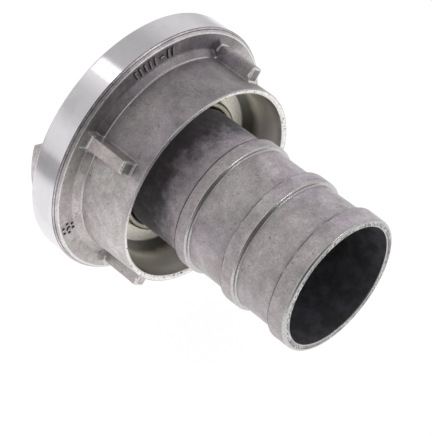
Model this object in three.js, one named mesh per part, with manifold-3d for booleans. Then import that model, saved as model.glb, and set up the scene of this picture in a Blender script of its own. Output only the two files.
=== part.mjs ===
// Hose coupling half: a locking ring with two hooked claws swivels on a barbed hose tail.
// Millimetres. The coupling's axis is X: X = 0 is the coupling face, the hose tail points towards +X.
// Angles round the axis are in degrees, from +Z towards -Y.
import * as THREE from 'three';
import { mergeVertices } from 'three/addons/utils/BufferGeometryUtils.js';
import Module from 'manifold-3d';

const wasm = await Module();
wasm.setup();

// ---------- driving dimensions ----------
const SIDES = 60; // flats round each turned piece
const GAP = 0.3; // clearance between pieces that touch
const OVERLAP = 0.6; // how far blocks that are joined reach into each other
const EDGE = 0.8; // chamfer on turned edges
const SMALL_EDGE = 0.3;

// locking ring
const RIM_RADIUS = 63.5;
const RIM_WIDTH = 13.9;
const RIM_WALL = 6;
const BACK_WALL_X = 16; // rear face of the flat back wall
const BACK_WALL = 3.4;
const REAR_CHAMFER = 1.9;
const SKIRT_RADIUS = 50.2; // outside, at its open end
const SKIRT_ROOT_RADIUS = 50.7;
const SKIRT_CONE = 3; // 45 degree face between skirt and back wall
const SKIRT_INNER_RADIUS = 47.6; // inside, at its open end; it narrows to the flange's face
const SKIRT_END_X = 46.2;
const RING_TURN = 4; // the ring's rest angle on the tail

// bearing flange, deep in the ring
const FLANGE_FRONT_X = 20;
const FLANGE_BACK_X = 25.2;
const FLANGE_HOLE_RADIUS = 33.9; // passes over the barbs
const FLANGE_FACE_RADIUS = 41.9;

// wrench ribs on the skirt
const RIB_COUNT = 4;
const RIB_RADIUS = 57.35;
const RIB_END_X = 39.4;
const RIB_ROOT_WIDTH = 8;
const RIB_TIP_WIDTH = 6.2;
const RIB_EDGE = 0.8;
const RIB_CORNER = 1.4; // rounding of the top of its end
const RIB_SINK = 1.2; // depth of its underside in the skirt

// claws, and the lip that the other half's claws hook behind
const CLAW_COUNT = 2;
const CLAW_ANGLE = 51; // width round the axis
const CLAW_INNER_RADIUS = 44.5; // half of the 89 mm lug distance
const CLAW_NECK_RADIUS = 50.4;
const CLAW_HOOK_RADIUS = 54.5;
const CLAW_REACH = 12;
const CLAW_HOOK = 5.6; // hook thickness along the axis
const LIP_RADIUS = 51;
const LIP_THICKNESS = 5.4;
const LIP_RAMP_LOW = 0.1;
const LIP_RAMP_HIGH = 1.1;
const RAMP_OVERLAP_ANGLE = 1; // how far a ramp runs into the pocket and the claw beside it
const POCKET_ANGLE = 55;
const POCKET_RADIUS = 55.1;

// hose tail
const COLLAR_RADIUS = 42.6;
const COLLAR_FRONT_X = 0.4;
const COLLAR_BACK_X = 17.6;
const COLLAR_CLEARANCE = 0.4; // to the bore of the ring
const COLLAR_FILLET = 1.5;
const NECK_RADIUS = 30.7;
const MOUTH_X = 126.8;
const MOUTH_BORE_RADIUS = 29.9;
const NECK_BORE_RADIUS = 27.7;
const FRONT_BORE_RADIUS = 31;
const BORE_TAPER = 6; // length between the front bore and the neck bore
const BARBS = [
  { x: 59.6, width: 6.8, radius: 33.25, after: 31.3 },
  { x: 88.3, width: 7.4, radius: 33.45, after: 31.45 },
];
const END_BARB = { x: 117, radius: 33.65, edge: 0.85 };
const BARB_FRONT_EDGE = 0.3;
const BARB_BACK_EDGE = 0.6;

// sealing ring and its groove in the collar
const GROOVE_INNER_RADIUS = 33.2;
const GROOVE_OUTER_RADIUS = 40.4;
const GROOVE_DEPTH = 8.4;
const SEAL_LIP = 1.2; // how far the rubber stands proud of the collar
const SEAL_SHOULDER = 0.6; // how deep in the groove its rounded lip starts

// snap ring and slide ring
const WIRE_RADIUS = 2;
const WIRE_RING_RADIUS = 32.2;
const WIRE_X = 27;
const WIRE_GAP_ANGLE = 9;
const SLIDE_INNER_RADIUS = 34.2;

// ---------- materials ----------
function material(color, roughness, metalness) {
  return new THREE.MeshStandardMaterial({ color, roughness, metalness });
}

const castAluminium = () => material(0x9a9692, 0.55, 0.85);
const springSteel = () => material(0xb9b6ae, 0.3, 0.95);
const blackRubber = () => material(0x1c1c1d, 0.8, 0);
const whitePlastic = () => material(0xd8d5cb, 0.5, 0);

// ---------- solid helpers ----------
const radians = THREE.MathUtils.degToRad;

function toManifold(geometry) {
  const bare = geometry.index ? geometry.toNonIndexed() : geometry.clone();
  bare.deleteAttribute('normal');
  bare.deleteAttribute('uv');
  const merged = mergeVertices(bare, 1e-4);
  return new wasm.Manifold(new wasm.Mesh({
    numProp: 3,
    vertProperties: new Float32Array(merged.attributes.position.array),
    triVerts: new Uint32Array(merged.index.array),
  }));
}

function toGeometry(solid) {
  const mesh = solid.getMesh();
  const geometry = new THREE.BufferGeometry();
  geometry.setAttribute('position', new THREE.BufferAttribute(mesh.vertProperties, 3));
  geometry.setIndex(new THREE.BufferAttribute(mesh.triVerts, 1));
  geometry.computeVertexNormals();
  return geometry;
}

// Points on part of an ellipse in the X-radius plane, from one angle to another; 0 degrees points along +X.
function ellipsePoints(centreX, centreRadius, reachX, reachRadius, fromAngle, toAngle, steps) {
  return Array.from({ length: steps + 1 }, (_, i) => {
    const angle = radians(fromAngle + ((toAngle - fromAngle) * i) / steps);
    return [centreX + reachX * Math.cos(angle), centreRadius + reachRadius * Math.sin(angle)];
  });
}

function arcPoints(centreX, centreRadius, radius, fromAngle, toAngle, steps) {
  return ellipsePoints(centreX, centreRadius, radius, radius, fromAngle, toAngle, steps);
}

// A turned piece: its outline as [x, radius] points, anticlockwise with X to the right and radius upwards.
function turned(outline) {
  const points = [...outline, outline[0]].reverse().map(([x, radius]) => new THREE.Vector2(radius, x));
  const geometry = new THREE.LatheGeometry(points, SIDES);
  geometry.rotateZ(-Math.PI / 2);
  return geometry;
}

// Puts a shape that was extruded upwards onto the coupling: its plane faces along X, its top at topX.
function faceAlongAxis(geometry, topX) {
  const basis = new THREE.Matrix4().makeBasis(
    new THREE.Vector3(0, -1, 0),
    new THREE.Vector3(0, 0, 1),
    new THREE.Vector3(-1, 0, 0),
  );
  geometry.applyMatrix4(basis);
  geometry.translate(topX, 0, 0);
  return geometry;
}

// A block that is a sector of a ring, between two radii, two X positions and two angles.
function sector(innerRadius, outerRadius, fromX, toX, centreAngle, width) {
  const steps = Math.ceil(width / (360 / SIDES));
  const arc = (radius, direction) => Array.from({ length: steps + 1 }, (_, i) => {
    const angle = radians(centreAngle + direction * width * (i / steps - 0.5));
    return new THREE.Vector2(radius * Math.sin(angle), radius * Math.cos(angle));
  });
  const shape = new THREE.Shape([...arc(outerRadius, 1), ...arc(innerRadius, -1)]);
  const geometry = new THREE.ExtrudeGeometry(shape, { depth: toX - fromX, bevelEnabled: false });
  return faceAlongAxis(geometry, toX);
}

// ---------- locking ring ----------
function ringBody() {
  const channelRadius = RIM_RADIUS - RIM_WALL;
  const channelBackX = BACK_WALL_X - BACK_WALL;
  const boreRadius = COLLAR_RADIUS + COLLAR_CLEARANCE;
  return turned([
    // bearing flange and the skirt's conical inner wall
    [FLANGE_FRONT_X, FLANGE_HOLE_RADIUS],
    [FLANGE_BACK_X - EDGE, FLANGE_HOLE_RADIUS],
    [FLANGE_BACK_X, FLANGE_HOLE_RADIUS + EDGE],
    [FLANGE_BACK_X, FLANGE_FACE_RADIUS],
    [SKIRT_END_X - EDGE, SKIRT_INNER_RADIUS],
    [SKIRT_END_X, SKIRT_INNER_RADIUS + EDGE],
    // outside of the skirt
    [SKIRT_END_X, SKIRT_RADIUS - SMALL_EDGE],
    [SKIRT_END_X - SMALL_EDGE, SKIRT_RADIUS],
    [BACK_WALL_X + SKIRT_CONE, SKIRT_ROOT_RADIUS],
    [BACK_WALL_X, SKIRT_ROOT_RADIUS + SKIRT_CONE],
    // back wall and rim
    [BACK_WALL_X, RIM_RADIUS - REAR_CHAMFER],
    [RIM_WIDTH, RIM_RADIUS],
    [EDGE, RIM_RADIUS],
    [0, RIM_RADIUS - EDGE],
    // front lip, the channel behind it and the bore round the collar
    [0, LIP_RADIUS + SMALL_EDGE],
    [SMALL_EDGE, LIP_RADIUS],
    [LIP_THICKNESS, LIP_RADIUS],
    [LIP_THICKNESS, channelRadius],
    [channelBackX, channelRadius],
    [channelBackX, boreRadius],
    [FLANGE_FRONT_X, boreRadius],
  ]);
}

// One wrench rib: its side outline, extruded across its width with chamfered edges, narrows towards its end.
function rib(angle) {
  const root = SKIRT_RADIUS - RIB_SINK;
  const rootX = BACK_WALL_X - OVERLAP;
  const top = RIB_RADIUS - RIB_EDGE;
  const endX = RIB_END_X - RIB_EDGE;
  const outline = new THREE.Shape();
  outline.moveTo(rootX, root);
  outline.lineTo(endX, root);
  outline.lineTo(endX, top - RIB_CORNER);
  outline.absarc(endX - RIB_CORNER, top - RIB_CORNER, RIB_CORNER, 0, Math.PI / 2, false);
  outline.lineTo(rootX, top);
  const geometry = new THREE.ExtrudeGeometry(outline, {
    depth: RIB_ROOT_WIDTH - 2 * RIB_EDGE,
    curveSegments: 3,
    bevelThickness: RIB_EDGE,
    bevelSize: RIB_EDGE,
    bevelSegments: 1,
  });
  geometry.translate(0, 0, -RIB_ROOT_WIDTH / 2 + RIB_EDGE);
  const position = geometry.attributes.position;
  for (let i = 0; i < position.count; i += 1) {
    const share = (position.getX(i) - BACK_WALL_X) / (RIB_END_X - BACK_WALL_X);
    const width = THREE.MathUtils.lerp(RIB_ROOT_WIDTH, RIB_TIP_WIDTH, share);
    position.setZ(i, (position.getZ(i) * width) / RIB_ROOT_WIDTH);
  }
  geometry.rotateX(Math.PI / 2 + radians(angle));
  return geometry;
}

// A claw: a solid foot between lip and back wall, a neck, and a hook that points outwards.
function clawBlocks(angle) {
  const footBackX = BACK_WALL_X - BACK_WALL + OVERLAP;
  const channelRadius = RIM_RADIUS - RIM_WALL;
  const hookBackX = CLAW_HOOK - CLAW_REACH;
  return [
    sector(CLAW_INNER_RADIUS, channelRadius + OVERLAP, OVERLAP, footBackX, angle, CLAW_ANGLE),
    sector(CLAW_INNER_RADIUS, CLAW_NECK_RADIUS, -CLAW_REACH, 2 * OVERLAP, angle, CLAW_ANGLE),
    sector(CLAW_NECK_RADIUS - OVERLAP, CLAW_HOOK_RADIUS, -CLAW_REACH, hookBackX, angle, CLAW_ANGLE),
  ];
}

// A ramp on the back of the lip, from fromAngle where it is thin to toAngle where it is thickest.
function lipRamp(fromAngle, toAngle) {
  const steps = 6;
  const innerRadius = LIP_RADIUS + SMALL_EDGE;
  const outerRadius = RIM_RADIUS - RIM_WALL + OVERLAP;
  const frontX = LIP_THICKNESS - OVERLAP;
  const corners = [];
  for (let i = 0; i <= steps; i += 1) {
    const angle = radians(THREE.MathUtils.lerp(fromAngle, toAngle, i / steps));
    const backX = LIP_THICKNESS + THREE.MathUtils.lerp(LIP_RAMP_LOW, LIP_RAMP_HIGH, i / steps);
    const section = [
      [frontX, innerRadius],
      [backX, innerRadius],
      [backX, outerRadius],
      [frontX, outerRadius],
    ];
    for (const [x, radius] of section) {
      corners.push(x, -radius * Math.sin(angle), radius * Math.cos(angle));
    }
  }
  const faces = [0, 2, 1, 0, 3, 2];
  for (let i = 0; i < steps; i += 1) {
    for (let side = 0; side < 4; side += 1) {
      const a = 4 * i + side;
      const b = 4 * i + ((side + 1) % 4);
      faces.push(a, b, b + 4, a, b + 4, a + 4);
    }
  }
  const last = 4 * steps;
  faces.push(last, last + 1, last + 2, last, last + 2, last + 3);
  const geometry = new THREE.BufferGeometry();
  geometry.setAttribute('position', new THREE.Float32BufferAttribute(corners, 3));
  geometry.setIndex(faces);
  return geometry;
}

function lockingRing() {
  let ring = toManifold(ringBody());
  for (let i = 0; i < RIB_COUNT; i += 1) {
    const angle = RING_TURN + (360 / RIB_COUNT) * (i + 0.5);
    ring = ring.add(toManifold(rib(angle)));
  }
  for (let i = 0; i < CLAW_COUNT; i += 1) {
    const clawCentre = RING_TURN + 90 + 180 * i;
    const pocketCentre = clawCentre + 90;
    const rampStart = pocketCentre + POCKET_ANGLE / 2 - RAMP_OVERLAP_ANGLE;
    const rampEnd = clawCentre + 180 - CLAW_ANGLE / 2 + RAMP_OVERLAP_ANGLE;
    const pocketBackX = LIP_THICKNESS + LIP_RAMP_HIGH + OVERLAP;
    ring = ring.add(toManifold(lipRamp(rampStart, rampEnd)));
    ring = ring.subtract(toManifold(
      sector(LIP_RADIUS - OVERLAP, POCKET_RADIUS, -OVERLAP, pocketBackX, pocketCentre, POCKET_ANGLE),
    ));
    for (const block of clawBlocks(clawCentre)) {
      ring = ring.add(toManifold(block));
    }
  }
  return toGeometry(ring);
}

// ---------- hose tail ----------
function barbOutline({ x, width, radius, after }, before) {
  return [
    [x, before],
    [x, radius - BARB_FRONT_EDGE],
    [x + BARB_FRONT_EDGE, radius],
    [x + width - BARB_BACK_EDGE, radius],
    [x + width, radius - BARB_BACK_EDGE],
    [x + width + SMALL_EDGE, after],
  ];
}

function hoseTail() {
  const grooveBottomX = COLLAR_FRONT_X + GROOVE_DEPTH;
  const seatRadius = WIRE_RADIUS + GAP;
  const seatAngle = THREE.MathUtils.radToDeg(Math.asin((WIRE_RING_RADIUS - NECK_RADIUS) / seatRadius));
  const filletRadius = NECK_RADIUS + COLLAR_FILLET;
  const outer = [
    // collar with its sealing groove
    [COLLAR_FRONT_X, FRONT_BORE_RADIUS],
    [COLLAR_FRONT_X, GROOVE_INNER_RADIUS],
    [grooveBottomX, GROOVE_INNER_RADIUS],
    [grooveBottomX, GROOVE_OUTER_RADIUS],
    [COLLAR_FRONT_X, GROOVE_OUTER_RADIUS],
    [COLLAR_FRONT_X, COLLAR_RADIUS - SMALL_EDGE],
    [COLLAR_FRONT_X + SMALL_EDGE, COLLAR_RADIUS],
    [COLLAR_BACK_X, COLLAR_RADIUS],
    ...arcPoints(COLLAR_BACK_X + COLLAR_FILLET, filletRadius, COLLAR_FILLET, 180, 270, 2),
    // seat of the snap ring
    ...arcPoints(WIRE_X, WIRE_RING_RADIUS, seatRadius, 180 + seatAngle, 360 - seatAngle, 4),
    ...barbOutline(BARBS[0], NECK_RADIUS),
    ...barbOutline(BARBS[1], BARBS[0].after),
    // end barb and mouth
    [END_BARB.x, BARBS[1].after],
    [END_BARB.x, END_BARB.radius - BARB_FRONT_EDGE],
    [END_BARB.x + BARB_FRONT_EDGE, END_BARB.radius],
    ...arcPoints(MOUTH_X - END_BARB.edge, END_BARB.radius - END_BARB.edge, END_BARB.edge, 90, 0, 2),
  ];
  const bore = [
    [MOUTH_X, MOUTH_BORE_RADIUS],
    [WIRE_X, NECK_BORE_RADIUS],
    [COLLAR_BACK_X, NECK_BORE_RADIUS],
    [COLLAR_BACK_X - BORE_TAPER, FRONT_BORE_RADIUS],
  ];
  return turned([...outer, ...bore].reverse());
}

// ---------- rings ----------
class SplitCircle extends THREE.Curve {
  getPoint(t) {
    const angle = radians(WIRE_GAP_ANGLE / 2 + t * (360 - WIRE_GAP_ANGLE));
    const y = -WIRE_RING_RADIUS * Math.sin(angle);
    const z = WIRE_RING_RADIUS * Math.cos(angle);
    return new THREE.Vector3(WIRE_X, y, z);
  }
}

function snapRing() {
  const section = new THREE.Shape();
  section.absarc(0, 0, WIRE_RADIUS, 0, 2 * Math.PI, false);
  return new THREE.ExtrudeGeometry(section, {
    steps: SIDES,
    curveSegments: 8,
    extrudePath: new SplitCircle(),
  });
}

function slideRing() {
  const outerRadius = COLLAR_RADIUS - GAP;
  const frontX = COLLAR_BACK_X + GAP;
  const backX = FLANGE_FRONT_X - GAP;
  return turned([
    [frontX, SLIDE_INNER_RADIUS],
    [backX, SLIDE_INNER_RADIUS],
    [backX, outerRadius],
    [frontX, outerRadius],
  ]);
}

// A lip seal: a body in the groove, and a rounded lip that stands proud of the collar.
function sealingRing() {
  const bottomX = COLLAR_FRONT_X + GROOVE_DEPTH - GAP;
  const shoulderX = COLLAR_FRONT_X + SEAL_SHOULDER;
  const innerRadius = GROOVE_INNER_RADIUS + GAP;
  const outerRadius = GROOVE_OUTER_RADIUS - GAP;
  const middleRadius = (innerRadius + outerRadius) / 2;
  const halfWidth = (outerRadius - innerRadius) / 2;
  return turned([
    [bottomX, innerRadius],
    [bottomX, outerRadius],
    ...ellipsePoints(shoulderX, middleRadius, SEAL_SHOULDER + SEAL_LIP, halfWidth, 90, 270, 8),
  ]);
}

// ---------- assembly ----------
function piece(name, geometry, surface) {
  const mesh = new THREE.Mesh(geometry, surface);
  mesh.name = name;
  return mesh;
}

const coupling = new THREE.Group();
coupling.add(
  piece('hose_tail', hoseTail(), castAluminium()),
  piece('locking_ring', lockingRing(), castAluminium()),
  piece('snap_ring', snapRing(), springSteel()),
  piece('slide_ring', slideRing(), whitePlastic()),
  piece('sealing_ring', sealingRing(), blackRubber()),
);

export default coupling;
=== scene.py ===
"""Looks of a hose coupling half: a cast and turned locking ring that swivels on a cast, barbed hose tail.

Lengths are in millimetres and become metres when a mesh is made. Materials, lamps and the camera are in
metres throughout. X runs along the coupling's axis, from the coupling face to the mouth of the tail, and Z is
up. Angles round the axis are in degrees, from +Z towards -Y.
"""

import math

import bpy
import numpy as np
from mathutils import Matrix, Vector, noise


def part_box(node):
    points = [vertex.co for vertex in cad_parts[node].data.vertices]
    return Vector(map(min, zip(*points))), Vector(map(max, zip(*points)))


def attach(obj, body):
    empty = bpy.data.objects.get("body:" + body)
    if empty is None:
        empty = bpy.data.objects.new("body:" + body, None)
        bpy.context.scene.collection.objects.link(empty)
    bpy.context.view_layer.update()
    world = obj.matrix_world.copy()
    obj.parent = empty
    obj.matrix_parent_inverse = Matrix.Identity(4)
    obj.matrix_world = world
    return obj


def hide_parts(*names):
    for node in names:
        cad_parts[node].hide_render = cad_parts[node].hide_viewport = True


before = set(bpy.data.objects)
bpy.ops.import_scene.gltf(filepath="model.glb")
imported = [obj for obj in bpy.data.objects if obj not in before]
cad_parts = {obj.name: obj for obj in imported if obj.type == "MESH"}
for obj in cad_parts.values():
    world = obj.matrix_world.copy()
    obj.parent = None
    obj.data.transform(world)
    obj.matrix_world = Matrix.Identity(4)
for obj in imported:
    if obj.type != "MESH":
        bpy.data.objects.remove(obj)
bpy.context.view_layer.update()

MM = 0.001
SHARP_ANGLE = math.radians(50)  # edges sharper than this are not shaded smooth
WOBBLE_SEED = 7
noise.seed_set(WOBBLE_SEED)  # without it the castings' unevenness would follow the clock, and change each run
ring_low, ring_high = (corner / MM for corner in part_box("locking_ring"))
tail_low, tail_high = (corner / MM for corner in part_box("hose_tail"))

# ---------- locking ring ----------
RING_TURN = 4.0
RIM_RADIUS = ring_high.z
RIM_WIDTH = 13.9
RIM_LINES_X = (14.5, 14.8)  # where the fine lines between the rim and its chamfer start and end
RIM_WALL = 6.0
BACK_WALL_X = 16.0
CHANNEL_BACK_X = 12.6
REAR_CHAMFER = 1.8
SKIRT_END_X = ring_high.x
SKIRT_RADIUS = 50.2
SKIRT_ROOT_RADIUS = 50.7
SKIRT_INNER_RADIUS = 47.6
SKIRT_CONE = 3.0
FLANGE_X = (20.0, 25.2)
FLANGE_HOLE_RADIUS = 33.9
FLANGE_FACE_RADIUS = 41.9
RING_BORE_RADIUS = 43.0
LIP_RADIUS = 51.0
LIP_THICKNESS = 5.4
LIP_RAMP_RISE = 1.0
POCKET_ANGLE = 55.0
POCKET_RADIUS = 55.1

RIB_COUNT = 4
RIB_PITCH = 360 / RIB_COUNT
RIB_RADIUS = 57.3
RIB_END_X = 39.4
RIB_SPREAD = 8.0  # half the width of the strip of mesh that follows a rib
RIB_SECTION = [  # offset from its middle, height, rounding
    (-RIB_SPREAD, 0, 0), (-3.9, 0, 1.0), (-3.3, 7.0, 0.7), (2.8, 7.0, 0.7), (3.6, 0, 1.0), (RIB_SPREAD, 0, 0),
]
RIB_ROOT_SCALE = 1.0  # the rib's width near the back wall, and at its end, as shares of RIB_SECTION
RIB_TIP_SCALE = 0.86
RIB_FLARE_LENGTH = 2.4  # where the rib widens and rises into the back wall
RIB_FLARE_SCALE = 0.55
RIB_FLARE_RISE = 2.0

MARK_HEIGHT = 0.7
MARK_RADIUS = 57.4  # where the raised foundry marks sit on the back wall, and the angle of each
MARK_BARS = (13.4, 10.6, 7.8, 5.0, 2.2, -5.4, -8.2)
MARK_DASH = -1.6
MARK_FLOWER = 98.0

CLAW_ANGLE = 51.0
CLAW_REACH = -ring_low.x
CLAW_HOOK = 5.6
CLAW_INNER_RADIUS = 44.5
CLAW_NECK_RADIUS = 50.4
CLAW_HOOK_RADIUS = 54.5
CLAW_FOOT_X = 0.6
CLAW_SINK = 0.5  # how far the foot goes into the ring's walls

# ---------- hose tail ----------
MOUTH_X = tail_high.x
MOUTH_BORE_RADIUS = 29.9
NECK_BORE_RADIUS = 27.7
FRONT_BORE_RADIUS = 31.0
COLLAR_X = (tail_low.x, 17.6)
COLLAR_RADIUS = tail_high.z
NECK_RADIUS = 30.7
BARBS = [  # first X, last X, radius, and the radius of the tail behind it
    (59.6, 66.4, 33.25, 31.3),
    (88.3, 95.7, 33.45, 31.45),
]
END_BARB_X = 117.0
END_BARB_RADIUS = 33.65
MOUTH_ROUNDING = 1.3
GROOVE_RADII = (33.2, 40.4)
GROOVE_DEPTH = 8.4

# ---------- rings ----------
GAP = 0.3
WIRE_RADIUS = 2.0
WIRE_RING_RADIUS = 32.2
WIRE_X = 27.0
WIRE_GAP_ANGLE = 9.0
WIRE_SEAT_HALF_WIDTHS = (1.2, 1.8)  # of the groove it sits in, at the bottom and at the top
SLIDE_INNER_RADIUS = 34.2
SEAL_HEIGHT = 1.2

# ---------- camera ----------
VIEW_AZIMUTH = math.radians(46.15)
VIEW_ELEVATION = math.radians(47.4)
LENS = 136.6
# The mouth's centre, in metres: right of the camera's axis, above it, in front.
MOUTH_IN_VIEW = (0.05225, -0.02907, 0.7002)

# ---------- looks ----------
# Painted light and shade on a casting's two sides: the axis (1 for Y, 2 for Z), where the change along it
# starts and where it ends, and the colour factors there. The tail is painted lighter towards +Y, the ring
# lighter underneath and darker on top, and the ribs' tops darker towards +Y.
TAIL_PAINTED_SIDES = (1, -0.025, 0.020, (0.95, 0.945, 0.935), (1.18, 1.18, 1.20))
RING_PAINTED_SIDES = (2, 0.026, 0.040, (1.40, 1.43, 1.38), (0.80, 0.80, 0.80))
RIB_PAINTED_SIDES = (1, -0.02, 0.02, (1.0, 0.97, 0.95), (0.66, 0.66, 0.66))

# ---------- studio ----------
FLOOR_HALF_SIZE = 4.0
# Each lamp's name, place, target, width and height, and how bright it looks where 1 is white.
SOFTBOXES = (
    ("overhead_strip", (-0.67, -0.16, 1.2), (-0.67, -0.16, 0), (0.55, 0.28), 1.3),
    ("side_softbox", (0.86, 0.42, 0.60), (0.06, 0, 0), (0.36, 0.10), 8.5),
)
# Brightness of the light tent by the direction round the X axis, in degrees from overhead towards -Y.
TENT = (
    (-90, 0.78), (-60, 0.75), (-35, 0.50), (-8, 0.55), (9, 0.60), (13, 0.98),
    (30, 0.66), (48, 0.63), (68, 0.88), (90, 0.84), (115, 0.84),
)
DARK_SIDE = (0.80, -0.45, 0.40)  # the open side of the tent, where the camera looks in


# ---------- outlines ----------
def mix(a, b, share):
    return a + (b - a) * share


def corner_curve(place, before, after, cut, steps):
    """A corner as a smooth curve that starts and ends cut away from it, or as one point when cut is 0."""
    if cut == 0:
        return [place]
    start = mix(place, before, min(0.48, cut / np.linalg.norm(before - place)))
    end = mix(place, after, min(0.48, cut / np.linalg.norm(after - place)))
    return [start * (1 - s) ** 2 + place * 2 * s * (1 - s) + end * s**2 for s in np.linspace(0, 1, steps + 1)]


def rounded_path(corners, closed=True, spacing=2.0, pieces=None, steps=3):
    """Points along the straight lines between corners, with rounded corners.

    A corner is (a, b, cut), the zone of the line after it, and the zone of its rounding if that has its own.
    pieces says into how many pieces each line is divided, so that two paths can have matching points.
    Returns the points, the zone of the stretch after each of them, and pieces.
    """
    places = [np.array(corner[:2], float) for corner in corners]
    count = len(corners)
    curves = []
    for i, place in enumerate(places):
        before = places[i - 1] if closed or i > 0 else place
        after = places[(i + 1) % count] if closed or i < count - 1 else place
        curves.append(corner_curve(place, before, after, corners[i][2], steps))
    line_count = count if closed else count - 1
    if pieces is None:
        gaps = [np.linalg.norm(curves[(i + 1) % count][0] - curves[i][-1]) for i in range(line_count)]
        pieces = [max(1, math.ceil(gap / spacing)) for gap in gaps]
    line_zones = [corner[3] if len(corner) > 3 else "" for corner in corners]
    points, zones = [], []
    for i, curve in enumerate(curves):
        points += curve
        half = len(curve) // 2
        zones += [line_zones[i - 1]] * half + [line_zones[i]] * (len(curve) - half)
        if len(corners[i]) > 4:
            zones[-len(curve):] = [corners[i][4]] * (len(curve) - 1) + [line_zones[i]]
        if i < line_count:
            for k in range(1, pieces[i]):
                points.append(mix(curve[-1], curves[(i + 1) % count][0], k / pieces[i]))
                zones.append(line_zones[i])
    return np.array(points), zones, pieces


# ---------- meshes ----------
def around(x, radius, angle):
    """The points at X, at a distance from the axis and at an angle round it in degrees."""
    turn = np.radians(angle)
    return np.stack(np.broadcast_arrays(x, -radius * np.sin(turn), radius * np.cos(turn)), axis=-1)


def grid_faces(columns, rows, wrap):
    """Quads between neighbouring columns of points, where each column closes on itself.

    wrap joins the last column to the first.
    """
    faces = []
    for i in range(columns if wrap else columns - 1):
        here, there = i * rows, (i + 1) % columns * rows
        for j in range(rows):
            k = (j + 1) % rows
            faces.append((here + j, here + k, there + k, there + j))
    return faces


def wobble(points, amount=0.12, size=11.0):
    """The small smooth unevenness of a casting, as offsets for points."""
    offsets = [noise.noise_vector(Vector(point) / size) for point in points]
    return np.array(offsets).reshape(-1, 3) * amount


def make_piece(name, shells, materials, node, body):
    """One mesh object from shells, each (points, faces, zone of each face), that stands for a CAD node."""
    points = np.concatenate([shell[0] for shell in shells])
    faces, zones, first = [], [], 0
    for shell_points, shell_faces, shell_zones in shells:
        faces += [tuple(first + k for k in face) for face in shell_faces]
        zones += shell_zones
        first += len(shell_points)
    mesh = bpy.data.meshes.new(name)
    mesh.from_pydata((points * MM).tolist(), [], faces)
    order = list(materials)
    for zone in order:
        mesh.materials.append(materials[zone])
    mesh.polygons.foreach_set("material_index", [order.index(zone) for zone in zones])
    mesh.shade_smooth()
    mesh.set_sharp_from_angle(angle=SHARP_ANGLE)
    obj = bpy.data.objects.new(name, mesh)
    bpy.context.scene.collection.objects.link(obj)
    weighted = obj.modifiers.new("even_shading", "WEIGHTED_NORMAL")
    weighted.keep_sharp = True
    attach(obj, body)
    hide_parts(node)
    return obj


def turned_shell(corners, columns=256, cast_zones=(), spacing=2.0):
    """A shell turned about the axis. Its corners are as for rounded_path, with X and radius as a and b."""
    outline, zones, _ = rounded_path(corners, spacing=spacing)
    angles = np.arange(columns)[:, None] * 360 / columns
    points = around(outline[:, 0], outline[:, 1], angles).reshape(-1, 3)
    uneven = np.tile([zone in cast_zones for zone in zones], columns)
    points[uneven] += wobble(points[uneven])
    return points, grid_faces(columns, len(outline), wrap=True), zones * columns


# ---------- hose tail ----------
def barb_corners(first_x, last_x, radius, after, before, edge_zone):
    """A barb, from the mouth's side to the ring's side."""
    return [
        (last_x + 0.3, after, 0.6, "worn", "worn"),
        (last_x + 0.2, radius - 0.55, 0.3, "worn", "worn"),
        (last_x - 0.35, radius, 0.3, "cast", "worn"),
        # The rounding of the barb's ring-side edge is painted dark, as shade.
        (first_x, radius, 0.7 if edge_zone == "scored" else 0.55, "cast", edge_zone),
        (first_x, before, 0.35, "cast"),
    ]


def hose_tail_shell():
    seat_radius = WIRE_RING_RADIUS - WIRE_RADIUS - GAP
    seat_bottom, seat_top = WIRE_SEAT_HALF_WIDTHS
    first_barb, last_barb = BARBS
    corners = [
        (COLLAR_X[0], FRONT_BORE_RADIUS, 0.3, "bore"),
        (COLLAR_X[1] - 6, FRONT_BORE_RADIUS, 1, "bore"),
        (COLLAR_X[1], NECK_BORE_RADIUS, 2, "bore"),
        (WIRE_X, NECK_BORE_RADIUS, 2, "bore"),
        (MOUTH_X, MOUTH_BORE_RADIUS, 0.5, "sawn", "worn"),
        (MOUTH_X, END_BARB_RADIUS - 0.2, MOUTH_ROUNDING, "cast", "worn"),
        (END_BARB_X, END_BARB_RADIUS, 0.55, "cast", "edge"),
        (END_BARB_X, last_barb[3], 0.35, "cast"),
        *barb_corners(*last_barb, before=first_barb[3], edge_zone="edge"),
        *barb_corners(*first_barb, before=NECK_RADIUS, edge_zone="scored"),
        (WIRE_X + seat_top, NECK_RADIUS, 0.2, "turned"),
        (WIRE_X + seat_bottom, seat_radius, 0.6, "turned"),
        (WIRE_X - seat_bottom, seat_radius, 0.6, "turned"),
        (WIRE_X - seat_top, NECK_RADIUS, 0.2, "turned"),
        (COLLAR_X[1], NECK_RADIUS, 1.5, "turned"),
        (COLLAR_X[1], COLLAR_RADIUS, 0.3, "turned"),
        (COLLAR_X[0], COLLAR_RADIUS, 0.5, "turned"),
        (COLLAR_X[0], GROOVE_RADII[1], 0.3, "turned"),
        (COLLAR_X[0] + GROOVE_DEPTH, GROOVE_RADII[1], 0.3, "turned"),
        (COLLAR_X[0] + GROOVE_DEPTH, GROOVE_RADII[0], 0.3, "turned"),
        (COLLAR_X[0], GROOVE_RADII[0], 0.3, "turned"),
    ]
    return turned_shell(corners, cast_zones=("cast", "bore"))


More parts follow.
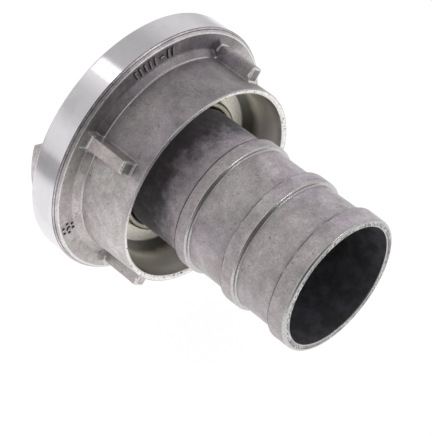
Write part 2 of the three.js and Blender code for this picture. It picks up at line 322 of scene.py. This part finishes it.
# ---------- locking ring ----------
def ring_corners(rib=0.0, pocket=0.0, ramp=0.0):
    """The ring's outline. rib and pocket go from 0 beside a feature to 1 in it, and ramp thickens the lip."""
    rib_radius = mix(SKIRT_RADIUS, RIB_RADIUS, rib)
    root_radius = mix(SKIRT_ROOT_RADIUS, RIB_RADIUS, rib)
    flare_x = BACK_WALL_X + mix(SKIRT_CONE / 2, RIB_FLARE_LENGTH, rib)
    flare_radius = mix(SKIRT_ROOT_RADIUS + SKIRT_CONE / 2, RIB_RADIUS, rib)
    wall_radius = mix(SKIRT_ROOT_RADIUS + SKIRT_CONE, RIB_RADIUS + RIB_FLARE_RISE, rib)
    lip_back = LIP_THICKNESS + ramp
    lip_radius = mix(LIP_RADIUS, POCKET_RADIUS, pocket)
    channel_radius = RIM_RADIUS - RIM_WALL
    return [
        (FLANGE_X[0], FLANGE_HOLE_RADIUS, 0.4, "flange"),
        (FLANGE_X[1], FLANGE_HOLE_RADIUS, 0.7, "flange"),
        (FLANGE_X[1], FLANGE_FACE_RADIUS, 0.5, "inside", "inside"),
        (SKIRT_END_X - 0.8, SKIRT_INNER_RADIUS, 0.2, "land"),
        (SKIRT_END_X, SKIRT_INNER_RADIUS + 0.9, 0.2, "land"),
        (SKIRT_END_X, SKIRT_RADIUS, 0.5, "cast", "worn"),
        (mix(RIB_END_X + 1, RIB_END_X, rib), SKIRT_RADIUS, 0.9, "rib end", "rib edge"),
        (mix(RIB_END_X - 1, RIB_END_X, rib), rib_radius, mix(0.9, 1.0, rib), "rib", "rib edge"),
        (mix(BACK_WALL_X + SKIRT_CONE, 24, rib), root_radius, 0.6, "rib", "ridge"),
        (flare_x, flare_radius, 0.6, "cast", "rib edge"),
        (BACK_WALL_X, wall_radius, 0.8, "cast"),
        # Painted highlight, with some wear, along the back wall's outer edge.
        (BACK_WALL_X, RIM_RADIUS - REAR_CHAMFER, 0.45, "chamfer", "bright"),
        (RIM_LINES_X[1], RIM_RADIUS - 0.5 * REAR_CHAMFER, 0, "line"),
        (RIM_LINES_X[0], RIM_RADIUS - 0.35 * REAR_CHAMFER, 0, "chamfer"),
        (RIM_WIDTH, RIM_RADIUS, 0.2, "turned", "line"),
        (0, RIM_RADIUS, 0.8, "turned"),
        (0, lip_radius, 0.5, "turned"),
        (lip_back, lip_radius, 0.4, "turned"),
        (lip_back, channel_radius, 0.6, "cast"),
        (CHANNEL_BACK_X, channel_radius, 1.2, "cast"),
        (CHANNEL_BACK_X, RING_BORE_RADIUS, 0.4, "turned"),
        (FLANGE_X[0], RING_BORE_RADIUS, 0.4, "turned"),
    ]


def smooth(share):
    share = min(1.0, max(0.0, share))
    return share * share * (3 - 2 * share)


def pocket_share(angle):
    """1 where the lip is cut away for the other half's claws, 0 elsewhere."""
    distance = abs((angle - RING_TURN + 90) % 180 - 90)
    return smooth((POCKET_ANGLE / 2 - distance) / 0.4 + 0.5)


def lip_ramp(angle):
    """How much thicker the lip is. It rises from a pocket to the next claw, and falls inside the claw."""
    start, end = POCKET_ANGLE / 2, 90 - CLAW_ANGLE / 2
    distance = (angle - RING_TURN) % 180
    if distance < end:
        return LIP_RAMP_RISE * max(0.0, distance - start) / (end - start)
    return LIP_RAMP_RISE * (1 - smooth((distance - end) / CLAW_ANGLE))


def ring_columns():
    """The columns round the ring, each (angle of a rib, offset from it, share of the gap after it, height).

    Beside and on a rib, columns follow it at fixed offsets in millimetres. Between two ribs they spread out
    evenly, with some more at the pockets' edges.
    """
    section, _, _ = rounded_path(RIB_SECTION, closed=False, spacing=1.4)
    height = section[:, 1].max()
    spread = math.degrees(math.asin(RIB_SPREAD / LIP_RADIUS))
    pocket_edge = (RIB_PITCH / 2 - POCKET_ANGLE / 2 - spread) / (RIB_PITCH - 2 * spread)
    edges = [pocket_edge + step for step in (-0.004, -0.002, 0, 0.002, 0.004)]
    shares = sorted([*(k / 48 for k in range(1, 48)), *edges, *(1 - edge for edge in edges)])
    columns = []
    for k in range(RIB_COUNT):
        rib_angle = RING_TURN + RIB_PITCH * (k + 0.5)
        columns += [(rib_angle, offset, 0.0, h / height) for offset, h in section]
        columns += [(rib_angle, RIB_SPREAD, share, 0.0) for share in shares]
    return columns


def column_angle(column, x, radius):
    rib_angle, offset, share, _ = column
    along = np.clip((x - BACK_WALL_X) / (RIB_END_X - BACK_WALL_X), 0, 1)
    flare = RIB_FLARE_SCALE * np.clip(1 - (x - BACK_WALL_X) / RIB_FLARE_LENGTH, 0, 1) ** 2
    narrowing = mix(mix(RIB_ROOT_SCALE, RIB_TIP_SCALE, along) + flare, 1, abs(offset) / RIB_SPREAD)
    spread = np.degrees(np.arcsin(RIB_SPREAD / radius))
    return rib_angle + np.degrees(np.arcsin(offset * narrowing / radius)) + share * (RIB_PITCH - 2 * spread)


def ring_shell():
    columns = ring_columns()
    _, zones, pieces = rounded_path(ring_corners())
    points = []
    for column in columns:
        angle = float(column_angle(column, BACK_WALL_X, LIP_RADIUS))
        corners = ring_corners(column[3], pocket_share(angle), lip_ramp(angle))
        outline, _, _ = rounded_path(corners, pieces=pieces)
        x, radius = outline.T
        points.append(around(x, radius, column_angle(column, x, radius)))
    points = np.concatenate(points)
    cast_zones = ("cast", "rib", "ridge", "rib end", "rib edge")
    uneven = np.tile([zone in cast_zones for zone in zones], len(columns))
    points[uneven] += wobble(points[uneven])
    face_zones = []
    for _, _, _, height in columns:
        # Painted highlights, with some wear: the upper halves of the ribs' long edges and the borders of
        # their ends are bright. The rib tops are painted lighter.
        rib_zones = {
            "rib edge": "bright" if height > 0.5 else "cast",
            "rib end": "bright" if 0.5 < height < 0.995 else "cast",
            "rib": "pale" if height > 0.8 else "cast",
            "ridge": "pale" if height > 0.8 else "worn",
        }
        face_zones += [rib_zones.get(zone, zone) for zone in zones]
    return points, grid_faces(len(columns), len(zones), wrap=True), face_zones


def claw_shell(middle_angle):
    """A claw: a foot inside the ring, a neck and a hook that points outwards, with rounded ends."""
    edge = 0.7  # the rounding of the two ends; the outline's outer corners must be rounder than this
    hook_back = CLAW_HOOK - CLAW_REACH
    foot_back = CHANNEL_BACK_X + CLAW_SINK
    foot_radius = RIM_RADIUS - RIM_WALL + CLAW_SINK
    corners = [
        (-CLAW_REACH, CLAW_INNER_RADIUS, 1.1),
        (foot_back, CLAW_INNER_RADIUS, 1.1),
        (foot_back, foot_radius, 1.1),
        (CLAW_FOOT_X, foot_radius, 1.1),
        (CLAW_FOOT_X, CLAW_NECK_RADIUS, 0.3),
        (hook_back, CLAW_NECK_RADIUS, 0.8),
        (hook_back, CLAW_HOOK_RADIUS, 1.1),
        (-CLAW_REACH, CLAW_HOOK_RADIUS, 1.3),
    ]
    outline, _, _ = rounded_path(corners)
    along = np.roll(outline, -1, axis=0) - np.roll(outline, 1, axis=0)
    inwards = np.stack([-along[:, 1], along[:, 0]], axis=1)
    inwards /= np.linalg.norm(inwards, axis=1, keepdims=True)
    turns = np.radians(np.linspace(0, 90, 5))
    edge_angle = math.degrees(edge / CLAW_NECK_RADIUS)
    start = [(edge_angle * (1 - math.cos(turn)), edge * (1 - math.sin(turn))) for turn in turns]
    middle = [(angle, 0.0) for angle in np.linspace(edge_angle, CLAW_ANGLE - edge_angle, 36)[1:-1]]
    end = [(CLAW_ANGLE - angle, inset) for angle, inset in reversed(start)]
    columns = start + middle + end
    points = []
    for angle, inset in columns:
        x, radius = (outline + inwards * inset).T
        points.append(around(x, radius, middle_angle - CLAW_ANGLE / 2 + angle))
    points = np.concatenate(points)
    in_front = points[:, 0] > 0.5 - CLAW_REACH
    points[in_front] += wobble(points[in_front])
    rows = len(outline)
    faces = grid_faces(len(columns), rows, wrap=False)
    faces += [tuple(reversed(range(rows))), tuple(range(len(points) - rows, len(points)))]
    return points, faces, ["cast"] * len(faces)


def raised_mark(angle, radius, length, width, slant):
    """A small raised bar or dot on the back wall, with round ends and sloping sides."""
    lean = math.radians(slant)
    turns = np.radians(np.arange(20) * 18)
    loops = []
    for inset, x in ((-0.15, -0.3), (0.0, 0.2), (0.12, MARK_HEIGHT - 0.1), (0.3, MARK_HEIGHT)):
        half, reach = width / 2 - inset, (length - width) / 2
        a = half * np.cos(turns)
        b = half * np.sin(turns) + reach * np.sign(np.round(np.sin(turns), 6))
        across = a * math.cos(lean) - b * math.sin(lean)
        r = radius + a * math.sin(lean) + b * math.cos(lean)
        loops.append(around(BACK_WALL_X + x, r, angle - np.degrees(across / r)))
    rows = len(turns)
    faces = grid_faces(len(loops), rows, wrap=False)
    faces.append(tuple(range((len(loops) - 1) * rows, len(loops) * rows)))
    # The foot of each mark is painted dark where it meets the wall, as shade.
    zones = ["scored"] * (2 * rows) + ["worn"] * (len(faces) - 2 * rows)
    return np.concatenate(loops), faces, zones


def raised_marks():
    """Plain parallel bars, and a flower of dots, where a foundry puts its marks."""
    marks = [raised_mark(angle, MARK_RADIUS, 5.4, 1.5, 10) for angle in MARK_BARS]
    marks.append(raised_mark(MARK_DASH, MARK_RADIUS, 2.8, 1.4, 90))
    for turn in np.radians(np.arange(6) * 60):
        angle = MARK_FLOWER + 3.0 * np.cos(turn)
        radius = MARK_RADIUS + 2.9 * np.sin(turn)
        marks.append(raised_mark(angle, radius, 1.3, 1.3, 0))
    marks.append(raised_mark(MARK_FLOWER, MARK_RADIUS, 2.6, 1.2, 45))
    return marks


# ---------- rings ----------
def snap_ring_shell():
    """Round wire bent to an open circle, with its ends ground off."""
    sides = 20
    section = np.radians(np.arange(sides) * 360 / sides)
    half_gap = WIRE_GAP_ANGLE / 2
    columns = [(half_gap, 0.75), (half_gap + 0.6, 1.0)]
    columns += [(angle, 1.0) for angle in np.linspace(half_gap + 1, 360 - half_gap - 1, 200)]
    columns += [(360 - half_gap - 0.6, 1.0), (360 - half_gap, 0.75)]
    points = []
    for angle, share in columns:
        x = WIRE_X + WIRE_RADIUS * share * np.cos(section)
        radius = WIRE_RING_RADIUS + WIRE_RADIUS * share * np.sin(section)
        points.append(around(x, radius, angle))
    faces = grid_faces(len(columns), sides, wrap=False)
    last = sides * (len(columns) - 1)
    faces += [tuple(reversed(range(sides))), tuple(range(last, last + sides))]
    return np.concatenate(points), faces, ["steel"] * len(faces)


def slide_ring_shell():
    front, back = COLLAR_X[1] + GAP, FLANGE_X[0] - GAP
    return turned_shell([
        (front, SLIDE_INNER_RADIUS, 0.3, "plastic"),
        (back, SLIDE_INNER_RADIUS, 0.3, "plastic"),
        (back, COLLAR_RADIUS - GAP, 0.3, "plastic"),
        (front, COLLAR_RADIUS - GAP, 0.3, "plastic"),
    ])


def sealing_ring_shell():
    """A lip seal: its body lies in the collar's groove, and its lip leans inwards over the bore's edge."""
    bottom = COLLAR_X[0] + GROOVE_DEPTH - GAP
    inner, outer = GROOVE_RADII[0] + GAP, GROOVE_RADII[1] - GAP
    crest = COLLAR_X[0] - SEAL_HEIGHT
    return turned_shell([
        (bottom, inner, 0.5, "rubber"),
        (bottom, outer, 0.5, "rubber"),
        (COLLAR_X[0] + 0.6, outer, 0.8, "rubber"),
        (crest + 0.1, outer - 2.4, 0.9, "rubber"),
        (crest, inner + 1.6, 0.9, "rubber"),
        (COLLAR_X[0] + 0.6, inner, 0.8, "rubber"),
    ])


# ---------- materials ----------
class Graph:
    """Short names for adding the nodes of a material. Values are numbers, colours or other nodes' outputs."""

    def __init__(self, name):
        self.material = bpy.data.materials.new(name)
        self.material.use_nodes = True
        self.tree = self.material.node_tree
        self.shader = self.tree.nodes["Principled BSDF"]
        self.place = self.add("ShaderNodeTexCoord").outputs["Object"]

    def connect(self, value, socket):
        if isinstance(value, bpy.types.NodeSocket):
            self.tree.links.new(value, socket)
        else:
            socket.default_value = value

    def add(self, kind, **inputs):
        node = self.tree.nodes.new(kind)
        for name, value in inputs.items():
            self.connect(value, node.inputs[name.replace("_", " ")])
        return node

    def math(self, operation, *values):
        node = self.tree.nodes.new("ShaderNodeMath")
        node.operation = operation
        for value, socket in zip(values, node.inputs):
            self.connect(value, socket)
        return node.outputs[0]

    def product(self, *values):
        """Several numbers multiplied together."""
        total = values[0]
        for value in values[1:]:
            total = self.math("MULTIPLY", total, value)
        return total

    def noise(self, scale, detail=2.0, roughness=0.5, where=None):
        """Noise around 0.5. A scale of 1000 has features about a millimetre across."""
        place = where or self.place
        node = self.add("ShaderNodeTexNoise", Vector=place, Scale=scale, Detail=detail, Roughness=roughness)
        return node.outputs["Fac"]

    def steps(self, value, low, high, to_low=0.0, to_high=1.0):
        """value taken from the range low to high into another one, smoothly and clamped."""
        node = self.tree.nodes.new("ShaderNodeMapRange")
        node.interpolation_type = "SMOOTHSTEP"
        names = ("Value", "From Min", "From Max", "To Min", "To Max")
        for name, number in zip(names, (value, low, high, to_low, to_high)):
            self.connect(number, node.inputs[name])
        return node.outputs[0]

    def blend(self, share, a, b, kind="MIX"):
        node = self.tree.nodes.new("ShaderNodeMix")
        node.data_type = "RGBA"
        node.blend_type = kind
        self.connect(share, node.inputs[0])
        for value, socket in ((a, node.inputs[6]), (b, node.inputs[7])):
            self.connect((*value, 1.0) if isinstance(value, tuple) else value, socket)
        return node.outputs[2]

    def scaled(self, x, y, z, where=None):
        node = self.tree.nodes.new("ShaderNodeVectorMath")
        node.operation = "MULTIPLY"
        self.connect(where or self.place, node.inputs[0])
        self.connect((x, y, z), node.inputs[1])
        return node.outputs[0]

    def turning_marks(self, scale):
        """Noise that only varies along the axis and away from it, as a turning tool leaves it."""
        x, y, z = self.add("ShaderNodeSeparateXYZ", Vector=self.place).outputs
        radius = self.math("SQRT", self.math("ADD", self.product(y, y), self.product(z, z)))
        where = self.add("ShaderNodeCombineXYZ", X=x, Y=radius)
        return self.noise(scale, 3.0, 0.6, where.outputs[0])

    def bump(self, *layers):
        """Bumps on top of each other, each (height, depth in millimetres)."""
        normal = None
        for height, depth in layers:
            node = self.add("ShaderNodeBump", Height=height, Distance=depth * MM, Strength=1.0)
            if normal is not None:
                self.tree.links.new(normal, node.inputs["Normal"])
            normal = node.outputs[0]
        self.tree.links.new(normal, self.shader.inputs["Normal"])

    def finish(self, color, roughness, metallic):
        self.connect(color, self.shader.inputs["Base Color"])
        self.connect(roughness, self.shader.inputs["Roughness"])
        self.shader.inputs["Metallic"].default_value = metallic
        return self.material


def grey_factor(graph, value):
    """A grey colour made from a brightness factor."""
    return graph.add("ShaderNodeCombineColor", Red=value, Green=value, Blue=value).outputs[0]


def cast_aluminium(name, brightness=1.0, painted_neck_shadow=False, painted_sides=None, roughness=0.5):
    """Shot-blasted casting: warm and purplish greys, fine grain, small pits and handling stains.

    The neck flag paints the ring's shadow on the neck, with some soot, and a painted highlight band just
    before the first barb. The sides argument is one of the painted side lights at the top, such as the
    tail's.
    """
    g = Graph(name)
    warm, purple, pale = (0.403, 0.367, 0.373), (0.400, 0.360, 0.387), (0.391, 0.366, 0.366)
    tint = g.blend(g.steps(g.noise(38, 3), 0.42, 0.58), warm, purple)
    tint = g.blend(g.steps(g.noise(27, 2, where=g.scaled(1, -1, 1)), 0.5, 0.66), tint, pale)
    mottle, grain = g.noise(260, 5, 0.65), g.noise(1100, 3, 0.65)
    pits = g.steps(g.noise(620, 2, 0.5), 0.68, 0.76)
    stains = g.steps(g.noise(70, 4, 0.65), 0.56, 0.72)
    clouds = g.noise(125, 4, 0.6, g.scaled(1, 0.8, 0.8))
    rubs = g.steps(g.noise(75, 5, 0.75, g.scaled(3.2, 0.8, 0.8)), 0.55, 0.72)
    factor = g.product(
        g.steps(mottle, 0.28, 0.72, 0.85, 1.13),
        g.steps(grain, 0.3, 0.7, 0.84, 1.14),
        g.steps(clouds, 0.3, 0.7, 0.85, 1.16),
        g.steps(rubs, 0, 1, 1.0, 1.22),
        g.steps(stains, 0, 1, brightness, 0.82 * brightness),
        g.steps(pits, 0, 1, 1.0, 0.45),
    )
    if painted_neck_shadow:
        # Painted shadow of the ring's skirt on the neck, with some soot, and a painted highlight band just
        # before the first barb.
        x = g.add("ShaderNodeSeparateXYZ", Vector=g.place).outputs[0]
        drifting = g.math("ADD", x, g.steps(g.noise(75, 5, 0.7), 0.3, 0.7, -0.008, 0.008))
        painted_skirt_shadow = g.steps(drifting, 0.038, 0.055, 0.33, 1.0)
        painted_light_before_barb = g.steps(x, 0.0585, 0.0600, 1.22, 1.0)
        factor = g.product(factor, painted_skirt_shadow, painted_light_before_barb)
        tint = g.blend(g.steps(x, 0.045, 0.062), (0.385, 0.357, 0.405), tint)
    # Painted light and shade: one side of the casting lighter, the other darker.
    if painted_sides:
        axis, start, end, start_factor, end_factor = painted_sides
        along = g.add("ShaderNodeSeparateXYZ", Vector=g.place).outputs[axis]
        tint = g.blend(1.0, tint, g.blend(g.steps(along, start, end), start_factor, end_factor), "MULTIPLY")
    # Painted shade: the colour darkens in corners and hollows, by ambient occlusion.
    painted_corner_shade = g.add("ShaderNodeAmbientOcclusion", Distance=0.006).outputs["AO"]
    factor = g.product(factor, g.steps(painted_corner_shade, 0.40, 0.95, 0.50, 1.0))
    color = g.blend(1.0, tint, grey_factor(g, factor), "MULTIPLY")
    g.bump((mottle, 0.05), (grain, 0.045), (pits, -0.05))
    g.shader.inputs["Sheen Weight"].default_value = 0.25
    return g.finish(color, g.steps(mottle, 0.3, 0.7, roughness - 0.06, roughness + 0.08), 0.8)


def dark_line_aluminium(name, dark, light):
    """Thin dark lines and edges, broken by worn stretches when light differs from dark. Along the barbs'
    ring-side edges and round the raised marks' feet they are painted shade.
    """
    g = Graph(name)
    worn = g.steps(g.noise(90, 3, 0.6), 0.42, 0.6)
    grain = g.noise(1800, 3, 0.7)
    level = g.product(g.steps(worn, 0, 1, dark, light), g.steps(grain, 0.3, 0.7, 0.7, 1.3))
    g.bump((grain, 0.05))
    return g.finish(grey_factor(g, level), 0.5, 0.7)


def speckled_aluminium(name, color, specks, roughness, depth=0.05):
    """A scraped bright face with dark specks and chips in it, up to depth millimetres deep."""
    g = Graph(name)
    chips = g.steps(g.noise(520, 3, 0.75), 0.56, 0.66, 0.0, specks)
    bite = g.noise(1500, 3, 0.7)
    factor = g.steps(bite, 0.3, 0.7, 0.78, 1.1)
    light = g.blend(1.0, color, grey_factor(g, factor), "MULTIPLY")
    g.bump((bite, depth), (chips, -depth))
    return g.finish(g.blend(chips, light, (0.09, 0.08, 0.075)), roughness, 0.9)


def turned_aluminium(name, brightness=0.84):
    """Bright turned metal: its grooves run round the axis, so that highlights stretch across them."""
    g = Graph(name)
    fine, coarse = g.turning_marks(4000), g.turning_marks(600)
    dull = g.steps(g.noise(60, 3, 0.6), 0.45, 0.7)
    factor = g.product(g.steps(fine, 0.3, 0.7, 0.88, 1.04), g.steps(dull, 0, 1, 1.0, 0.92))
    metal = (brightness, 0.965 * brightness, 1.005 * brightness)
    color = g.blend(1.0, metal, grey_factor(g, factor), "MULTIPLY")
    g.bump((fine, 0.002), (coarse, 0.005))
    g.shader.inputs["Anisotropic"].default_value = 0.9
    g.shader.inputs["Anisotropic Rotation"].default_value = 0.25
    tangent = g.tree.nodes.new("ShaderNodeTangent")
    tangent.direction_type = "RADIAL"
    tangent.axis = "X"
    g.tree.links.new(tangent.outputs[0], g.shader.inputs["Tangent"])
    return g.finish(color, g.steps(coarse, 0.3, 0.7, 0.15, 0.20), 1.0)


def turned_wall():
    """The inner wall of the skirt: turned, greyed, and smooth enough to mirror the flange. A lighter band
    across its middle is a painted reflection, and it is painted darker towards both ends as shade.
    """
    g = Graph("turned_wall")
    fine, coarse = g.turning_marks(3000), g.turning_marks(420)
    dull = g.noise(80, 4, 0.6)
    x = g.add("ShaderNodeSeparateXYZ", Vector=g.place).outputs[0]
    drifting = g.math("ADD", x, g.steps(dull, 0.3, 0.7, -0.0006, 0.0006))
    # Painted reflection: a lighter band across the middle of the wall, with painted shade towards the flange
    # and towards the skirt's end.
    near_flange = g.steps(drifting, 0.0295, 0.035, 0.22, 1.3)
    near_mouth = g.steps(drifting, 0.041, 0.047, 1.0, 0.32)
    painted_band_and_shade = g.product(near_flange, near_mouth)
    factor = g.product(g.steps(fine, 0.3, 0.7, 0.9, 1.06), painted_band_and_shade)
    color = g.blend(1.0, (0.78, 0.755, 0.69), grey_factor(g, factor), "MULTIPLY")
    g.bump((fine, 0.002), (coarse, 0.006))
    return g.finish(color, g.steps(dull, 0.3, 0.7, 0.30, 0.38), 1.0)


def dark_bore():
    """The as-cast waterway: nearly black, with a faint cool sheen."""
    g = Graph("dark_bore")
    mottle, grain = g.noise(160, 4, 0.65), g.noise(1400, 3)
    color = g.blend(g.steps(mottle, 0.35, 0.7), (0.085, 0.085, 0.089), (0.172, 0.163, 0.192))
    g.bump((mottle, 0.12), (grain, 0.06))
    return g.finish(color, g.steps(grain, 0.3, 0.7, 0.45, 0.62), 0.35)


def sawn_aluminium():
    """The sawn mouth: sparkling where the blade bit, dull where dirt fills its grooves."""
    g = Graph("sawn_aluminium")
    bite, grain = g.noise(900, 3, 0.7, g.scaled(1, 1.8, 0.5)), g.noise(2600, 2)
    patches = g.steps(g.noise(55, 3, 0.6), 0.36, 0.54)
    dull = g.blend(g.steps(bite, 0.3, 0.7), (0.12, 0.115, 0.11), (0.42, 0.40, 0.39))
    sparkling = g.blend(g.steps(bite, 0.38, 0.62), (0.14, 0.135, 0.13), (0.85, 0.83, 0.81))
    g.bump((bite, 0.32), (grain, 0.08))
    return g.finish(g.blend(patches, dull, sparkling), g.steps(bite, 0.3, 0.7, 0.5, 0.32), 0.9)


def spring_steel():
    g = Graph("spring_steel")
    drawn = g.turning_marks(3000)
    color = g.blend(g.steps(drawn, 0.3, 0.7), (0.22, 0.20, 0.16), (0.52, 0.49, 0.41))
    g.bump((drawn, 0.01), (g.noise(500, 3), 0.01))
    return g.finish(color, g.steps(g.noise(300, 3), 0.3, 0.7, 0.22, 0.36), 1.0)


def slide_plastic():
    g = Graph("slide_plastic")
    flow = g.noise(120, 3)
    color = g.blend(g.steps(flow, 0.35, 0.65), (0.66, 0.64, 0.57), (0.72, 0.70, 0.64))
    g.bump((flow, 0.03), (g.noise(1800, 2), 0.01))
    return g.finish(color, 0.5, 0.0)


def seal_rubber():
    """Black rubber with a bloom of dust."""
    g = Graph("seal_rubber")
    dust = g.steps(g.noise(300, 5, 0.7), 0.5, 0.72)
    color = g.blend(dust, (0.016, 0.016, 0.017), (0.050, 0.048, 0.046))
    g.bump((g.noise(1500, 3), 0.03))
    return g.finish(color, g.steps(dust, 0, 1, 0.48, 0.72), 0.0)


# ---------- the pieces ----------
turned = turned_aluminium("turned_aluminium")
worn = speckled_aluminium("worn_edges", (0.62, 0.60, 0.595), specks=0.15, roughness=0.27, depth=0.015)
# Painted shade along the barbs' ring-side edges and round the raised marks' feet.
edge = dark_line_aluminium("edge_lines", dark=0.12, light=0.6)
scored = dark_line_aluminium("painted_shade_lines", dark=0.05, light=0.09)
make_piece(
    "hose_tail_casting",
    [hose_tail_shell()],
    {
        "cast": cast_aluminium("cast_tail", brightness=1.28, painted_neck_shadow=True, painted_sides=TAIL_PAINTED_SIDES),
        "turned": turned,
        "bore": dark_bore(),
        "sawn": sawn_aluminium(),
        "worn": worn,
        "edge": edge,
        "scored": scored,
    },
    node="hose_tail", body="tail",
)
claws = [claw_shell(RING_TURN + 90), claw_shell(RING_TURN + 270)]
make_piece(
    "locking_ring_casting",
    [ring_shell(), *claws, *raised_marks()],
    {
        "cast": cast_aluminium("cast_ring", brightness=1.14, painted_sides=RING_PAINTED_SIDES),
        # Rib tops painted lighter than the ring, as painted light, and darker towards +Y, as painted shade.
        "pale": cast_aluminium("pale_rib_tops", brightness=1.6, painted_sides=RIB_PAINTED_SIDES),
        "turned": turned,
        "inside": turned_wall(),
        "chamfer": cast_aluminium("rim_chamfer", brightness=1.75, roughness=0.34),
        "flange": speckled_aluminium("faced_flange", (0.86, 0.83, 0.77), specks=0.1, roughness=0.4),
        "land": speckled_aluminium("skirt_land", (0.96, 0.94, 0.91), specks=0.9, roughness=0.34),
        "worn": worn,
        # Edges painted bright as highlights, with some wear: the ribs' edges, the borders of their ends and
        # the back wall's outer edge.
        "bright": speckled_aluminium("bright_edge", (0.92, 0.90, 0.88), specks=0.3, roughness=0.4),
        "line": dark_line_aluminium("rim_lines", dark=0.14, light=0.26),
        "scored": scored,
    },
    node="locking_ring", body="ring",
)
make_piece(
    "snap_ring_wire", [snap_ring_shell()], {"steel": spring_steel()},
    node="snap_ring", body="tail",
)
make_piece(
    "slide_ring_washer", [slide_ring_shell()], {"plastic": slide_plastic()},
    node="slide_ring", body="tail",
)
make_piece(
    "lip_seal", [sealing_ring_shell()], {"rubber": seal_rubber()},
    node="sealing_ring", body="tail",
)


# ---------- the floor, the lamps and the camera ----------
def add_floor():
    """A pale, evenly lit table that the ring's rim stands on. It gets greyer further away."""
    size = FLOOR_HALF_SIZE
    mesh = bpy.data.meshes.new("floor")
    corners = [(-size, -size), (size, -size), (size, size), (-size, size)]
    mesh.from_pydata([(x, y, -RIM_RADIUS * MM) for x, y in corners], [], [(0, 1, 2, 3)])
    floor = bpy.data.objects.new("floor", mesh)
    bpy.context.scene.collection.objects.link(floor)
    g = Graph("floor_paper")
    distance = g.tree.nodes.new("ShaderNodeVectorMath")
    distance.operation = "LENGTH"
    g.connect(g.place, distance.inputs[0])
    g.shader.inputs["Emission Color"].default_value = (1.0, 1.0, 1.0, 1.0)
    y = g.add("ShaderNodeSeparateXYZ", Vector=g.place).outputs[1]
    far_level = g.steps(y, -0.1, 0.1, 0.28, 0.50)
    level = g.steps(distance.outputs["Value"], 0.22, 0.38, 0.91, far_level)
    g.connect(level, g.shader.inputs["Emission Strength"])
    g.finish((0.2, 0.2, 0.2, 1.0), 0.9, 0.0)
    mesh.materials.append(g.material)


def add_softbox(name, place, target, size, radiance):
    """A rectangular lamp that faces target. radiance is how bright it looks, where 1 is white."""
    width, height = size
    lamp = bpy.data.lights.new(name, "AREA")
    lamp.shape = "RECTANGLE"
    lamp.size, lamp.size_y = width, height
    lamp.energy = math.pi * width * height * radiance
    obj = bpy.data.objects.new(name, lamp)
    obj.location = place
    obj.rotation_mode = "QUATERNION"
    obj.rotation_quaternion = (Vector(target) - Vector(place)).to_track_quat("-Z", "Y")
    bpy.context.scene.collection.objects.link(obj)


def tent_color(tree, where):
    """The tent's brightness by the direction round the X axis, as a colour."""
    parts = tree.nodes.new("ShaderNodeSeparateXYZ")
    tree.links.new(where, parts.inputs[0])
    forward = tree.nodes.new("ShaderNodeMath")
    forward.operation = "MULTIPLY"
    forward.inputs[1].default_value = -1.0
    tree.links.new(parts.outputs[1], forward.inputs[0])
    angle = tree.nodes.new("ShaderNodeMath")
    angle.operation = "ARCTAN2"
    tree.links.new(forward.outputs[0], angle.inputs[0])
    tree.links.new(parts.outputs[2], angle.inputs[1])
    turn = tree.nodes.new("ShaderNodeMapRange")
    turn.inputs["From Min"].default_value = -math.pi
    turn.inputs["From Max"].default_value = math.pi
    tree.links.new(angle.outputs[0], turn.inputs["Value"])
    ramp = tree.nodes.new("ShaderNodeValToRGB")
    stops = ramp.color_ramp.elements
    while len(stops) < len(TENT):
        stops.new(0.5)
    for stop, (degrees, level) in zip(stops, TENT):
        stop.position = (degrees + 180) / 360
        stop.color = (level, level, level, 1.0)
    tree.links.new(turn.outputs[0], ramp.inputs[0])
    return ramp.outputs[0]


def tent_opening(tree, where):
    """1 all round the tent, falling to nearly 0 towards its open side."""
    towards = tree.nodes.new("ShaderNodeVectorMath")
    towards.operation = "DOT_PRODUCT"
    tree.links.new(where, towards.inputs[0])
    towards.inputs[1].default_value = DARK_SIDE
    opening = tree.nodes.new("ShaderNodeMapRange")
    opening.interpolation_type = "SMOOTHSTEP"
    for name, number in (("From Min", 0.45), ("From Max", 0.95), ("To Min", 1.0), ("To Max", 0.08)):
        opening.inputs[name].default_value = number
    tree.links.new(towards.outputs["Value"], opening.inputs["Value"])
    return opening.outputs[0]


def add_world():
    """A light tent round the part, with an opening for the camera."""
    world = bpy.data.worlds.new("studio")
    world.use_nodes = True
    bpy.context.scene.world = world
    tree = world.node_tree
    where = tree.nodes.new("ShaderNodeTexCoord").outputs["Generated"]
    background = tree.nodes["Background"]
    tree.links.new(tent_color(tree, where), background.inputs["Color"])
    tree.links.new(tent_opening(tree, where), background.inputs["Strength"])


def add_camera():
    right = Vector((math.cos(VIEW_AZIMUTH), math.sin(VIEW_AZIMUTH), 0))
    level = Vector((-math.sin(VIEW_AZIMUTH), math.cos(VIEW_AZIMUTH), 0))
    forward = level * math.cos(VIEW_ELEVATION) - Vector((0, 0, math.sin(VIEW_ELEVATION)))
    up = right.cross(forward)
    mouth = Vector((MOUTH_X * MM, 0, 0))
    data = bpy.data.cameras.new("camera")
    data.lens = LENS
    camera = bpy.data.objects.new("camera", data)
    axes = Matrix((right, up, -forward)).transposed()
    place = mouth - right * MOUTH_IN_VIEW[0] - up * MOUTH_IN_VIEW[1] - forward * MOUTH_IN_VIEW[2]
    camera.matrix_world = Matrix.Translation(place) @ axes.to_4x4()
    bpy.context.scene.collection.objects.link(camera)
    bpy.context.scene.camera = camera


add_floor()
add_world()
for softbox in SOFTBOXES:
    add_softbox(*softbox)
add_camera()
bpy.context.scene.view_settings.view_transform = "Standard"
